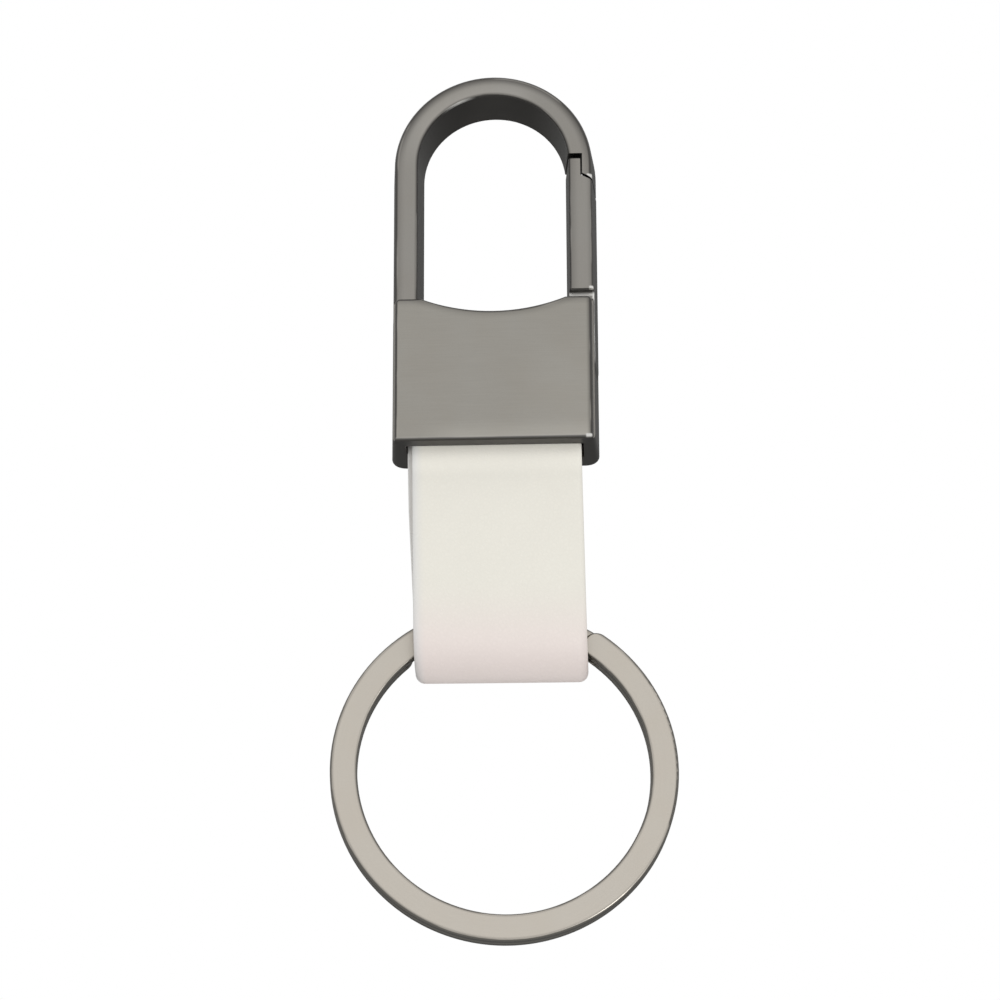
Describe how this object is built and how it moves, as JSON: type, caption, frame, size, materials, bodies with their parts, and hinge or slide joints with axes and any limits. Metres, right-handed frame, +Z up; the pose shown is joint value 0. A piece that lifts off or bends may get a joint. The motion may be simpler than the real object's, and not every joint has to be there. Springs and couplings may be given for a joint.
{
  "type": "belt key clip",
  "caption": "Belt key clip: an arched metal bail with a sprung gate over a flat block, a short folded leather strap and a flat split key ring.",
  "frame": {"origin": "level with the lowest inside point of the bail's crown, where a belt loop carries the clip, in the mid-plane of the strap", "axes": "+X to the gate's side, +Y to the back, +Z up towards the bail's crown as the clip hangs"},
  "size_m": [0.035, 0.0095, 0.0942],
  "materials": {
    "satin_gunmetal": "satin gunmetal plating on a zinc casting",
    "brushed_gunmetal": "gunmetal plating brushed straight across",
    "pin_steel": "turned ends filed flush",
    "spring_steel": "drawn wire",
    "white_leather": "smooth coated leather in warm white",
    "lining_leather": "smooth thin lining in warm white",
    "ring_steel": "satin plated flat steel wire"
  },
  "bodies": {
    "clip": {"clip_frame": "satin_gunmetal", "face_plate": "brushed_gunmetal", "gate_hinge_pin": "pin_steel", "gate_spring": "spring_steel", "strap_pins": "pin_steel", "strap_tab_front": "white_leather", "strap_tab_back": "white_leather"},
    "gate": {"gate": "satin_gunmetal"},
    "strap": {"strap_face": "white_leather", "strap_lining": "lining_leather"},
    "ring": {"split_ring": "ring_steel"}
  },
  "joints": [
    {"name": "gate_hinge", "type": "hinge", "parent": "clip", "child": "gate", "pos_m": [0.00909, 0, -0.02977], "axis": [0, -1, 0], "range_deg": [0, 20], "stiffness_Nm_per_rad": 0.04, "springref_deg": -28.65, "deforming": ["gate_spring"]},
    {"name": "strap_flex", "type": "hinge", "parent": "clip", "child": "strap", "pos_m": [0.00022, 0, -0.04], "axis": [0.9998, 0, 0.0175], "range_deg": [-35, 35]},
    {"name": "ring_spin", "type": "hinge", "parent": "strap", "child": "ring", "pos_m": [0.00081, 0, -0.07366], "axis": [-0.0697, 0.9976, -0.0012], "continuous": true}
  ]
}
